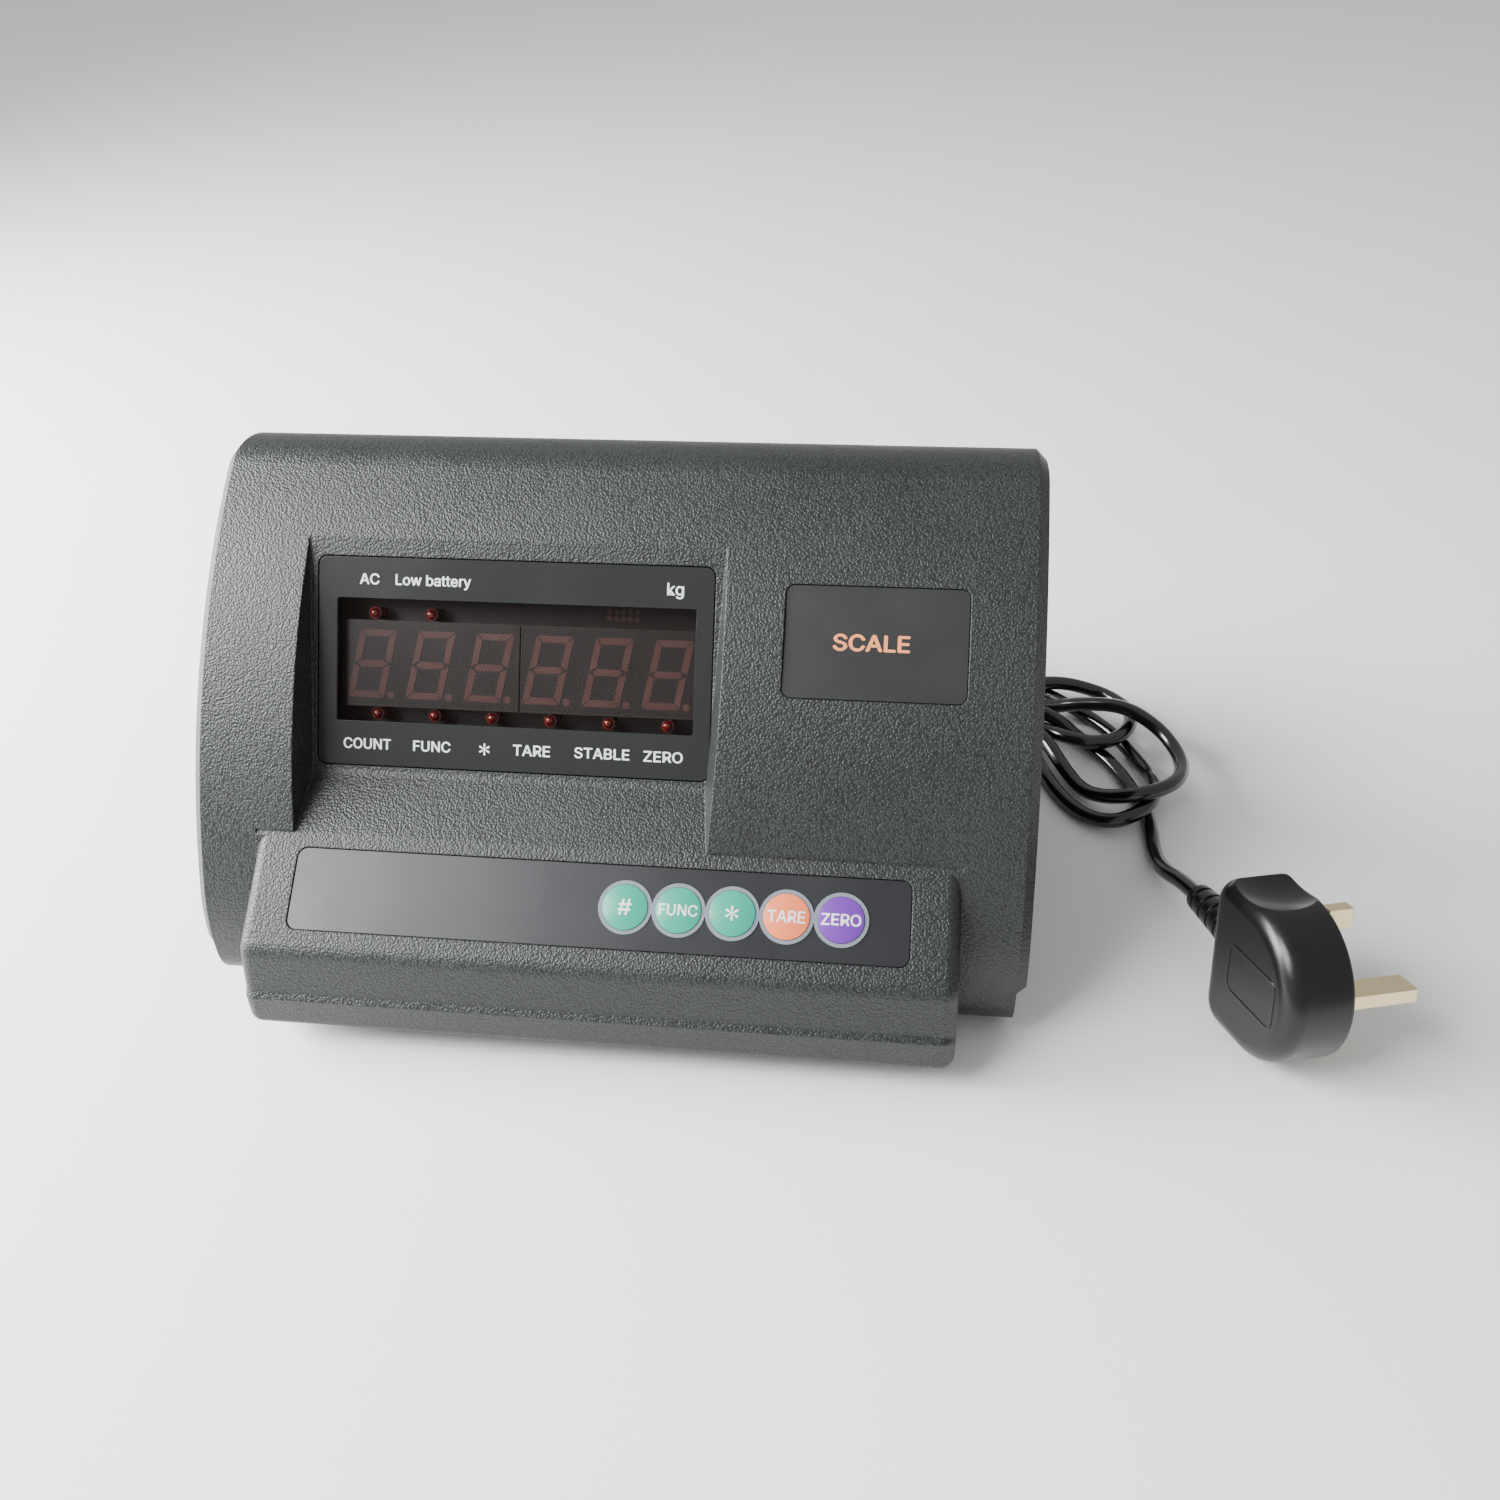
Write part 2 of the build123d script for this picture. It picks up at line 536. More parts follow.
def battery_door():
    """Sliding door: a plate with tongues that ride in the floor's grooves."""
    lips = FOOT_HEIGHT + 1.1 + 0.12
    top = FOOT_HEIGHT + WALL - 0.15
    end = CASE_REAR - 0.2
    door = span(DOOR_LEFT, DOOR_RIGHT, DOOR_FRONT, end, FOOT_HEIGHT, top)
    door += span(DOOR_LEFT - DOOR_TONGUE, DOOR_RIGHT + DOOR_TONGUE, DOOR_FRONT - DOOR_TONGUE,
                 end, lips, top)
    for i in range(7):
        y = end - 8 - 2.4 * i
        door -= span(-75, -45, y - 0.6, y + 0.6, FOOT_HEIGHT - 1, FOOT_HEIGHT + 0.5)
    return door & prism(case_outline(0), CASE_WIDTH / 2)


# ---------------------------------------------------------------- display

def display_window():
    """Tinted window with a printed border, set in the recess floor."""
    pane = plate(DISPLAY, WINDOW_LEFT, WINDOW_RIGHT, 0, -WINDOW_HEIGHT,
                 -WINDOW_SET, -WINDOW_SET - WINDOW_THICK, WINDOW_CORNER)
    return pane


def led_module(first):
    """Three-digit LED block."""
    middle = FIRST_DIGIT_X + DIGIT_PITCH * (first + 1)
    half = MODULE_WIDTH / 2 - 0.05
    return plate(DISPLAY, middle - half, middle + half, -DIGIT_ROW + MODULE_HEIGHT / 2,
                 -DIGIT_ROW - MODULE_HEIGHT / 2, -MODULE_SET, -MODULE_SET - MODULE_THICK)


def status_lamp(x, row):
    """Three-millimetre round LED on a spacer."""
    tip = -MODULE_SET - 0.8
    radius = LAMP_DIAMETER / 2
    lamp = post(DISPLAY, x, -row, BOARD_FACE, tip - radius, radius + 0.4)
    lamp += post(DISPLAY, x, -row, BOARD_FACE, tip - radius, radius)
    return lamp + DISPLAY * Pos(x, -row, tip - radius) * Sphere(radius)


def status_lamps():
    """All the status lamps: two above the digits and six below."""
    spots = [(x, TOP_LAMP_ROW) for x in TOP_LAMPS]
    spots += [(x, BOTTOM_LAMP_ROW) for x in bottom_lamp_spots()]
    return Compound([status_lamp(x, row) for x, row in spots])


def display_board():
    """Circuit board behind the LED blocks."""
    board = plate(DISPLAY, BOARD_LEFT, BOARD_RIGHT, -0.8, -WINDOW_HEIGHT + 0.8,
                  BOARD_FACE, BOARD_FACE - BOARD_THICK, 1.5)
    for x, t in BOARD_SCREWS:
        board -= post(DISPLAY, x, t, BOARD_FACE + 1, BOARD_FACE - 3, SCREW_M3 / 2 + 0.15)
    return board


def screw(plane, x, t, n, length, radius=SCREW_M3 / 2 - 0.2):
    """Pan-head screw whose head sits on n, shank towards +n."""
    head = post(plane, x, t, n, n - 1.8, HEAD_RADIUS)
    slot = plane * Pos(x, t, n - 1.8) * Box(1.0, 3.6, 1.2)
    cross = plane * Pos(x, t, n - 1.8) * Box(3.6, 1.0, 1.2)
    return head + post(plane, x, t, n, n + length, radius) - slot - cross


def display_screws():
    """Screws that hold the display board to the front shell's bosses."""
    back = BOARD_FACE - BOARD_THICK
    return [screw(DISPLAY, x, t, back, BOARD_THICK + 5) for x, t in BOARD_SCREWS]


def name_plate():
    """Blank inset plate beside the display."""
    return plate(PLATE, -PLATE_WIDTH / 2, PLATE_WIDTH / 2, PLATE_HEIGHT / 2, -PLATE_HEIGHT / 2,
                 -PLATE_THICK - 0.2, -0.2, PLATE_CORNER)


# ---------------------------------------------------------------- keypad

OVERLAY_FACE = -OVERLAY_DEPTH + OVERLAY_THICK


def keypad_overlay():
    """Thin sheet in the lip's pocket, with a hole for each key."""
    sheet = plate(KEYPAD, -OVERLAY_WIDTH / 2, OVERLAY_WIDTH / 2, -OVERLAY_TOP,
                  -OVERLAY_TOP - OVERLAY_HEIGHT, OVERLAY_FACE, -OVERLAY_DEPTH, OVERLAY_CORNER)
    for x in key_spots():
        sheet -= post(KEYPAD, x, KEY_ROW, 1, -3, KEY_DIAMETER / 2 + KEY_HOLE_GAP)
    return sheet


def key_rings():
    """Raised printed rings round the keys; neighbours run into each other."""
    rings = None
    for x in key_spots():
        disc = post(KEYPAD, x, KEY_ROW, OVERLAY_FACE, OVERLAY_FACE + KEY_RING_THICK, KEY_RING / 2)
        rings = disc if rings is None else rings + disc
    for x in key_spots():
        rings -= post(KEYPAD, x, KEY_ROW, 2, -3, KEY_DIAMETER / 2 + KEY_HOLE_GAP)
    return rings


def key(x):
    """Round key with a crowned face, a retaining flange and a plunger."""
    rim = OVERLAY_FACE + KEY_PROUD
    radius = KEY_DIAMETER / 2
    crown = (radius ** 2 + KEY_DOME ** 2) / (2 * KEY_DOME)
    body = post(KEYPAD, x, KEY_ROW, -OVERLAY_DEPTH - 0.05, rim, radius)
    cap = KEYPAD * Pos(x, KEY_ROW, rim + KEY_DOME - crown) * Sphere(crown)
    cap &= post(KEYPAD, x, KEY_ROW, rim - 0.1, rim + KEY_DOME + 1, radius)
    flange = post(KEYPAD, x, KEY_ROW, -OVERLAY_DEPTH - 0.05,
                  -OVERLAY_DEPTH - 0.05 - KEY_FLANGE_THICK, KEY_FLANGE / 2)
    tip = -WALL + DOME_THICK + KEY_TRAVEL + 0.05
    plunger = post(KEYPAD, x, KEY_ROW, -OVERLAY_DEPTH - 0.3, min(tip, -OVERLAY_DEPTH - 0.56), 2.0)
    return body + cap + flange + plunger


def keypad_circuit():
    """Circuit board stuck behind the lip's wall under the keys."""
    spots = key_spots()
    return plate(KEYPAD, spots[0] - 14, spots[-1] + 12, KEY_ROW + 11, KEY_ROW - 11,
                 -WALL, -WALL - CIRCUIT_THICK, 1)


def key_contacts():
    """Snap domes under the keys, drawn pressed in."""
    return Compound([post(KEYPAD, x, KEY_ROW, -WALL, -WALL + DOME_THICK, 4.5) for x in key_spots()])


# ---------------------------------------------------------------- electronics

def main_board_screws():
    """Corners of the main board, as (x, z)."""
    half_x, half_z = MAIN_BOARD_WIDTH / 2 - 5, MAIN_BOARD_HEIGHT / 2 - 5
    return [(x, MAIN_BOARD_Z + z) for x in (-half_x, half_x) for z in (-half_z, half_z)]


def main_board():
    """Main circuit board on the rear shell's bosses."""
    board = span(-MAIN_BOARD_WIDTH / 2, MAIN_BOARD_WIDTH / 2, MAIN_BOARD_Y - BOARD_THICK,
                 MAIN_BOARD_Y, MAIN_BOARD_Z - MAIN_BOARD_HEIGHT / 2,
                 MAIN_BOARD_Z + MAIN_BOARD_HEIGHT / 2)
    for x, z in main_board_screws():
        board -= rod((x, MAIN_BOARD_Y + 1, z), (0, -1, 0), SCREW_M3 / 2 + 0.15, 4)
    return board


def main_screws():
    """Screws of the main board."""
    face = Plane(origin=(0, MAIN_BOARD_Y - BOARD_THICK, 0), x_dir=(1, 0, 0), z_dir=(0, 1, 0))
    return [screw(face, x, -z, 0, BOARD_THICK + 5) for x, z in main_board_screws()]


def on_board(x0, x1, z0, z1, height):
    """Square-cornered component on the front of the main board."""
    face = MAIN_BOARD_Y - BOARD_THICK
    return span(x0, x1, face - height, face, z0, z1)


def board_chips():
    """Processor, converter screen, memory, driver and headers."""
    parts = [on_board(-8, 4, 98, 110, 1.6), on_board(-52, -26, 94, 112, 5),
             on_board(12, 22, 112, 118, 1.8), on_board(8, 21, 90, 96, 2.2),
             on_board(-20, 14, 121, 127, 8.5), on_board(TAIL_X - 8, TAIL_X + 8, 86, 92, 8.5)]
    return Compound(parts)


def capacitors():
    """Smoothing capacitors standing on the main board."""
    face = MAIN_BOARD_Y - BOARD_THICK
    spots = [(38, 112, 6.3, 20), (54, 112, 6.3, 20), (-62, 104, 4, 12)]
    return Compound([rod((x, face, z), (0, -1, 0), r, length) for x, z, r, length in spots])


def heatsink():
    """Finned aluminium heat sink for the regulator."""
    base = on_board(55, 66, 88, 91, 18)
    for i in range(4):
        base += on_board(55 + 3.2 * i, 56.4 + 3.2 * i, 91, 100, 18)
    return base


def buzzer():
    """Round sounder on the main board."""
    face = MAIN_BOARD_Y - BOARD_THICK
    body = rod((-62, face, 92), (0, -1, 0), 4.2, 8)
    return body - rod((-62, face - 7, 92), (0, -1, 0), 1.0, 2)


def strip(points, radius, x, width, thickness):
    """Flat cable of constant width along a (y, z) path, its ends touching what they meet."""
    first, last = Vector(*points[0]), Vector(*points[-1])
    trim = thickness / 2 + 0.01
    first += (Vector(*points[1]) - first).normalized() * trim
    last += (Vector(*points[-2]) - last).normalized() * trim
    path = FilletPolyline(first, *points[1:-1], last, radius=radius)
    band = offset(path, amount=thickness / 2, side=Side.BOTH, kind=Kind.TANGENT)
    return Pos(x, 0, 0) * extrude(Plane.YZ * make_face(band.edges()), amount=width / 2, both=True)


def ribbon_cable():
    """Display board to main board header."""
    back = display_drop(20, -(BOARD_FACE - BOARD_THICK))
    face = MAIN_BOARD_Y - BOARD_THICK - 8.5
    points = [(back.X, back.Y), (back.X + 9, back.Y - 5.8), (face - 12, 124), (face, 124)]
    return strip(points, 4, -3, 26, 1.0)


def keypad_tail():
    """Keypad circuit to main board header."""
    back = keypad_drop(-KEY_ROW, WALL + CIRCUIT_THICK)
    face = MAIN_BOARD_Y - BOARD_THICK - 8.5
    low = (back.X + 6, back.Y - 8.4)
    points = [(back.X, back.Y), low, (2, 44), (face - 10, 89), (face, 89)]
    return strip(points, 3, TAIL_X, 14, 0.5)


# ---------------------------------------------------------------- power

def core_screws():
    """Transformer fixing points, as (x, y)."""
    return [(CORE_X + sign * (CORE_WIDTH / 2 + 5), CORE_Y) for sign in (-1, 1)]


CORE_BASE = FOOT_HEIGHT + WALL + 3


def transformer_core():
    """Laminated iron core with its strap feet."""
    low, high = CORE_BASE + 1.2, CORE_BASE + 1.2 + CORE_HEIGHT
    core = span(CORE_X - CORE_WIDTH / 2, CORE_X + CORE_WIDTH / 2, CORE_Y - 9, CORE_Y + 9, low, high)
    for sign in (-1, 1):
        core -= span(CORE_X + sign * 8, CORE_X + sign * 16, -60, 60, low + 8, high - 8)
    return core


def transformer_strap():
    """Sheet steel strap that clamps the core to the floor bosses."""
    low, high = CORE_BASE, CORE_BASE + 1.2 + CORE_HEIGHT
    half = CORE_WIDTH / 2
    strap = span(CORE_X - half - 1.2, CORE_X + half + 1.2, CORE_Y - 7, CORE_Y + 7, low, high + 1.2)
    strap -= span(CORE_X - half, CORE_X + half, CORE_Y - 20, CORE_Y + 20, low + 1.2, high)
    strap += span(CORE_X - half - 9, CORE_X + half + 9, CORE_Y - 7, CORE_Y + 7, low, low + 1.2)
    for x, y in core_screws():
        strap -= rod((x, y, low - 1), (0, 0, 1), SCREW_M3 / 2 + 0.15, 4)
    return strap


def transformer_winding():
    """Bobbin and winding on the core's middle leg."""
    low, high = CORE_BASE + 1.2 + 8, CORE_BASE + 1.2 + CORE_HEIGHT - 8
    winding = span(CORE_X - 16, CORE_X + 16, CORE_Y - 16, CORE_Y + 16, low, high)
    winding = fillet(winding.edges().filter_by(Axis.Z), 5)
    return winding - span(CORE_X - 8, CORE_X + 8, CORE_Y - 9, CORE_Y + 9, low - 1, high + 1) \
        - span(CORE_X - 40, CORE_X - 16, -60, 60, low, high) \
        - span(CORE_X + 16, CORE_X + 40, -60, 60, low, high)


def transformer_screws():
    """Screws of the transformer strap."""
    top = Plane(origin=(0, 0, CORE_BASE + 1.2), x_dir=(1, 0, 0), z_dir=(0, 0, -1))
    return [screw(top, x, -y, 0, 1.2 + 3.6) for x, y in core_screws()]


def board_screws():
    """All the screws inside the case."""
    return Compound(display_screws() + main_screws() + transformer_screws())


def battery():
    """Sealed lead-acid battery lying in its bay."""
    low = FOOT_HEIGHT + WALL + 0.02
    body = span(BATTERY_LEFT, BATTERY_LEFT + BATTERY_LENGTH, BATTERY_BACK - BATTERY_DEPTH,
                BATTERY_BACK, low, low + BATTERY_HEIGHT)
    return fillet(body.edges().filter_by(Axis.X), 1.5)


def battery_terminals():
    """Two blade terminals on the battery's end."""
    x = BATTERY_LEFT + BATTERY_LENGTH
    middle = FOOT_HEIGHT + WALL + BATTERY_HEIGHT - 9
    return Compound([span(x, x + 6, y - 2.4, y + 2.4, middle - 0.4, middle + 0.4)
                     for y in TERMINAL_SPOTS])


def battery_leads():
    """Leads from the battery's blades up to the main board."""
    x = BATTERY_LEFT + BATTERY_LENGTH + 6
    middle = FOOT_HEIGHT + WALL + BATTERY_HEIGHT - 9
    face = MAIN_BOARD_Y - BOARD_THICK
    leads = []
    for y, drift in zip(TERMINAL_SPOTS, (4, 9)):
        points = [(x, y, middle), (x + drift, y, middle), (x + drift, 40, 74),
                  (x + drift, face - 6, 89), (x + drift, face, 89)]
        leads.append(wire(points, 1.9, 1.8))
    return Compound(leads)


def battery_strap():
    """Steel strap over the battery, hooked on the bay's end walls."""
    top = FOOT_HEIGHT + WALL + BATTERY_HEIGHT + 0.1
    low = FOOT_HEIGHT + WALL + 14
    front = BATTERY_BACK - BATTERY_DEPTH - BAY_GAP - BAY_WALL
    strap = span(-66, -54, front - 1, CASE_REAR - WALL, top, top + 0.9)
    strap += span(-66, -54, front - 1, front, low, top + 0.9)
    return strap


# ---------------------------------------------------------------- rear panel parts

PANEL_Y = CASE_REAR - PANEL_DEPTH


def cell_socket():
    """Round load-cell socket body, flange outside the panel."""
    body = rod((CELL_X, PANEL_Y - 15, PORT_Z), (0, 1, 0), CELL_RADIUS, 15 + 7.5)
    body += rod((CELL_X, PANEL_Y, PORT_Z), (0, 1, 0), CELL_RADIUS + 2.5, 2)
    body -= rod((CELL_X, PANEL_Y - CELL_FLOOR, PORT_Z), (0, 1, 0), CELL_RADIUS - 1.3, 20)
    return body + span(CELL_X - 1, CELL_X + 1, PANEL_Y - CELL_FLOOR - 0.4, PANEL_Y + 7.5,
                       PORT_Z + CELL_RADIUS - 2.2, PORT_Z + CELL_RADIUS - 1)


def cell_nut():
    """Hexagon nut behind the panel."""
    flat = Plane(origin=(CELL_X, PANEL_Y - WALL - 2.6, PORT_Z), z_dir=(0, 1, 0))
    nut = flat * extrude(RegularPolygon(CELL_RADIUS + 3.4, 6), 2.6)
    return nut - rod((CELL_X, PANEL_Y - 20, PORT_Z), (0, 1, 0), CELL_RADIUS + 0.05, 30)


def cell_pins():
    """Contact pins in the socket's insert: one in the middle and six round it."""
    spots = [(0, 0)] + [(4 * cos(radians(60 * i)), 4 * sin(radians(60 * i))) for i in range(6)]
    return Compound([rod((CELL_X + x, PANEL_Y - CELL_FLOOR, PORT_Z + z), (0, 1, 0), 0.6, 4)
                     for x, z in spots])


def serial_face(width, height, narrow):
    """D-shaped outline in the rear panel's plane."""
    half = width / 2
    return Polygon((-half, height / 2), (half, height / 2), (half - narrow, -height / 2),
                   (-half + narrow, -height / 2), align=None)


def serial_shell():
    """Plated metal shell and flange of the nine-way port."""
    plane = Plane(origin=(SERIAL_X, PANEL_Y, PORT_Z), x_dir=(-1, 0, 0), z_dir=(0, 1, 0))
    flange = plane * extrude(RectangleRounded(30.8, 12.5, 1.5), 0.9)
    rim = plane * extrude(serial_face(17.6, 9.2, 1.4), 6.0)
    body = plane * Pos(0, 0, -9) * extrude(Rectangle(18.6, 10.6), 9)
    shell = flange + rim + body - plane * Pos(0, 0, 0.4) * extrude(serial_face(16.6, 8.2, 1.4), 8)
    for sign in (-1, 1):
        shell -= rod((SERIAL_X + sign * 12.5, PANEL_Y - 2, PORT_Z), (0, 1, 0), 1.55, 6)
    return shell


def serial_insert():
    """Insulating insert with nine contact holes."""
    plane = Plane(origin=(SERIAL_X, PANEL_Y, PORT_Z), x_dir=(-1, 0, 0), z_dir=(0, 1, 0))
    block = plane * Pos(0, 0, 0.4) * extrude(serial_face(16.5, 8.1, 1.4), 5.3)
    for i in range(5):
        block -= plane * Pos(-5.48 + 2.74 * i, 1.42, 2) * extrude(Circle(0.55), 5)
    for i in range(4):
        block -= plane * Pos(-4.11 + 2.74 * i, -1.42, 2) * extrude(Circle(0.55), 5)
    return block


def serial_posts():
    """Hexagon jack posts each side of the port."""
    posts = []
    for sign in (-1, 1):
        x = SERIAL_X + sign * 12.5
        plane = Plane(origin=(x, PANEL_Y + 0.9, PORT_Z), z_dir=(0, 1, 0))
        hexagon = plane * extrude(RegularPolygon(2.7, 6), 5)
        hexagon -= rod((x, PANEL_Y + 3, PORT_Z), (0, 1, 0), 1.2, 5)
        posts.append(hexagon + rod((x, PANEL_Y + 0.9, PORT_Z), (0, -1, 0), 1.4, 6))
    return Compound(posts)


def switch_body():
    """Snap-in rocker switch housing with its bezel and tabs."""
    half_w, half_h = SWITCH_WIDTH / 2, SWITCH_HEIGHT / 2
    body = span(SWITCH_X - half_w, SWITCH_X + half_w, PANEL_Y - 13, PANEL_Y, PORT_Z - half_h,
                PORT_Z + half_h)
    bezel = span(SWITCH_X - half_w - 1, SWITCH_X + half_w + 1, PANEL_Y, PANEL_Y + SWITCH_FLANGE,
                 PORT_Z - half_h - 1, PORT_Z + half_h + 1)
    bezel = fillet(bezel.edges().filter_by(Axis.Y), 1.2)
    body += bezel
    body -= span(SWITCH_X - half_w + 1.4, SWITCH_X + half_w - 1.4, PANEL_Y - 8, PANEL_Y + 5,
                 PORT_Z - half_h + 1.4, PORT_Z + half_h - 1.4)
    for x in (-3.5, 3.5):
        body += span(SWITCH_X + x - 0.4, SWITCH_X + x + 0.4, PANEL_Y - 20, PANEL_Y - 13,
                     PORT_Z - 2.4, PORT_Z + 2.4)
    pivot = rod((SWITCH_X - half_w + 0.5, ROCKER_Y, PORT_Z), (1, 0, 0), 1.2, SWITCH_WIDTH - 1)
    return body + pivot


ROCKER_Y = PANEL_Y - 2.5
ROCKER_ANGLE = 11.0


def switch_rocker():
    """Rocker on the switch's pivot: a shallow V, pressed in at its upper half."""
    half_w, half_h = SWITCH_WIDTH / 2 - 1.7, SWITCH_HEIGHT / 2 - 2.6
    rise = 3.6
    outline = Polyline((ROCKER_Y - 1.9, -3), (ROCKER_Y + 1.6, -half_h), (ROCKER_Y + rise + 1.9, -half_h),
                       (ROCKER_Y + rise, 0), (ROCKER_Y + rise + 1.9, half_h),
                       (ROCKER_Y + 1.6, half_h), (ROCKER_Y - 1.9, 3), close=True)
    body = extrude(Plane.YZ * make_face(outline), amount=half_w, both=True)
    body = Pos(SWITCH_X, 0, PORT_Z) * body
    body -= rod((SWITCH_X - 20, ROCKER_Y, PORT_Z), (1, 0, 0), 1.2 + RUN_GAP, 40)
    turn = Pos(0, ROCKER_Y, PORT_Z) * Rot(ROCKER_ANGLE, 0, 0) * Pos(0, -ROCKER_Y, -PORT_Z)
    return turn * body


def fuse_holder():
    """Panel fuse holder: tube behind the panel, flange outside."""
    body = rod((FUSE_X, PANEL_Y - 27, PORT_Z), (0, 1, 0), FUSE_RADIUS, 27)
    body += rod((FUSE_X, PANEL_Y, PORT_Z), (0, 1, 0), FUSE_RADIUS + 1.6, 2)
    body -= rod((FUSE_X, PANEL_Y - 24, PORT_Z), (0, 1, 0), 4.6, 40)
    body += span(FUSE_X - 0.4, FUSE_X + 0.4, PANEL_Y - 33, PANEL_Y - 27, PORT_Z - 2, PORT_Z + 2)
    return body


def fuse_nut():
    """Plastic nut behind the panel."""
    nut = rod((FUSE_X, PANEL_Y - WALL - 3, PORT_Z), (0, 1, 0), FUSE_RADIUS + 2.2, 3)
    return nut - rod((FUSE_X, PANEL_Y - 20, PORT_Z), (0, 1, 0), FUSE_RADIUS + 0.05, 30)


def fuse_cap():
    """Fuse carrier with its finger cap."""
    cap = rod((FUSE_X, PANEL_Y + 2.15, PORT_Z), (0, 1, 0), FUSE_RADIUS, 4.6)
    cap -= span(FUSE_X - 20, FUSE_X + 20, PANEL_Y + 5.4, PANEL_Y + 9, PORT_Z - 0.7, PORT_Z + 0.7)
    stem = rod((FUSE_X, PANEL_Y - 6, PORT_Z), (0, 1, 0), 4.3, 8.3)
    stem -= rod((FUSE_X, PANEL_Y - 7, PORT_Z), (0, 1, 0), 2.7, 5)
    return cap + stem


def fuse():
    """Glass fuse with end caps, gripped in the carrier."""
    return rod((FUSE_X, PANEL_Y - 22, PORT_Z), (0, 1, 0), 2.6, 20)


def cord_gland():
    """Moulded strain relief: panel collar, flange and ribbed tapering sleeve."""
    body = rod((GLAND_X, PANEL_Y - WALL - 6, PORT_Z), (0, 1, 0), GLAND_RADIUS, WALL + 6.2)
    body += rod((GLAND_X, PANEL_Y, PORT_Z), (0, 1, 0), GLAND_RADIUS + 1.8, 2.4)
    plane = Plane(origin=(GLAND_X, PANEL_Y + 2.2, PORT_Z), z_dir=(0, 1, 0))
    tip = CORD_DIAMETER / 2 + 1.1
    sleeve = plane * Pos(0, 0, (GLAND_LENGTH - 2.2) / 2) * Cone(4.8, tip, GLAND_LENGTH - 2.2)
    body += sleeve
    for i in range(5):
        y = PANEL_Y + 5.4 + 4.3 * i
        for sign in (-1, 1):
            side = i % 2
            low = (GLAND_X + sign * 3.6 - 1.6, y, PORT_Z - 6)
            high = (GLAND_X + sign * 3.6 + 1.6, y + 1.3, PORT_Z + 6)
            if side:
                low = (GLAND_X - 6, y, PORT_Z + sign * 3.6 - 1.6)
                high = (GLAND_X + 6, y + 1.3, PORT_Z + sign * 3.6 + 1.6)
            body -= span(low[0], high[0], low[1], high[1], low[2], high[2]) \
                - rod((GLAND_X, y - 1, PORT_Z), (0, 1, 0), CORD_DIAMETER / 2 + 0.45, 4)
    return body


# ---------------------------------------------------------------- small case parts

def rubber_feet():
    """Four stuck-on rubber feet."""
    feet = []
    for x in (-FOOT_X, FOOT_X):
        for y in (FOOT_FRONT, FOOT_BACK):
            foot = rod((x, y, 0), (0, 0, 1), FOOT_RADIUS, FOOT_HEIGHT)
            feet.append(chamfer(foot.edges().group_by(Axis.Z)[0], 0.6))
    return Compound(feet)


def bracket_inserts():
    """Brass inserts in the floor for a column or wall bracket."""
    sleeves = []
    for sign in (-1, 1):
        start = (sign * INSERT_X, INSERT_Y, FOOT_HEIGHT)
        sleeve = rod(start, (0, 0, 1), INSERT_RADIUS, INSERT_LENGTH)
        sleeves.append(sleeve - rod((start[0], start[1], 0), (0, 0, 1), INSERT_HOLE, 20))
    return Compound(sleeves)


def tray_screws():
    """Screws up through the floor into the front shell."""
    seat = Plane(origin=(0, 0, FOOT_HEIGHT + 6.4), x_dir=(1, 0, 0), z_dir=(0, 0, 1))
    return [screw(seat, s * TRAY_SCREW_X, TRAY_SCREW_Y, 0, 12, 1.3) for s in (-1, 1)]


def rear_screws():
    """Screws through the back into the front shell."""
    seat = Plane(origin=(0, PART_Y + 4, 0), x_dir=(1, 0, 0), z_dir=(0, -1, 0))
    return [screw(seat, s * REAR_SCREW_X, REAR_SCREW_Z, 0, 12, 1.3) for s in (-1, 1)]


def case_screws():
    """All the screws that hold the two shells together."""
    return Compound(tray_screws() + rear_screws())


def rating_label():
    """Blank label in a shallow recess on the back."""
    return span(-94, -32, CASE_REAR - 0.3, CASE_REAR - 0.1, 67, 93)


# ---------------------------------------------------------------- mains lead

CORD_EXIT = Vector(GLAND_X, PANEL_Y + GLAND_LENGTH, PORT_Z)

# From the gland's tip, down over the hank's left lobe.
DROP_ROUTE = [
    CORD_EXIT,
    LEAD_PLACE + Vector(102.0, 106.0, PORT_Z),
    LEAD_PLACE + Vector(98.5, 120.0, 30.5),
    LEAD_PLACE + Vector(91.0, 130.5, 22.0),
    LEAD_PLACE + Vector(81.0, 137.0, 13.5),
]

# From the hank's right lobe, along the table and up to the plug.
LEAD_ROUTE = [
    LEAD_PLACE + Vector(170.2, 51.0, 2.7),
    LEAD_PLACE + Vector(171.0, 39.0, 2.7),
    LEAD_PLACE + Vector(170.4, 27.0, 2.9),
    LEAD_PLACE + Vector(171.4, 15.5, 6.2),
]


def plug_axes():
    """Plug's own directions: u towards the earth pin, v across, w along the pins."""
    azimuth, tilt = radians(PLUG_AZIMUTH), radians(PLUG_TILT)
    w = Vector(cos(azimuth) * cos(tilt), sin(azimuth) * cos(tilt), -sin(tilt))
    level = Vector(sin(azimuth), -cos(azimuth), 0)
    raised = level * cos(radians(PLUG_ROLL)) + w.cross(level) * -sin(radians(PLUG_ROLL))
    return raised.normalized(), w


def plug_plane():
    """Plug frame with its lowest point on the table."""
    u, w = plug_axes()
    frame = Plane(origin=PLUG_ORIGIN, x_dir=u, z_dir=w)
    low = (frame * plug_block()).bounding_box().min.Z
    return Plane(origin=PLUG_ORIGIN - Vector(0, 0, low), x_dir=u, z_dir=w)


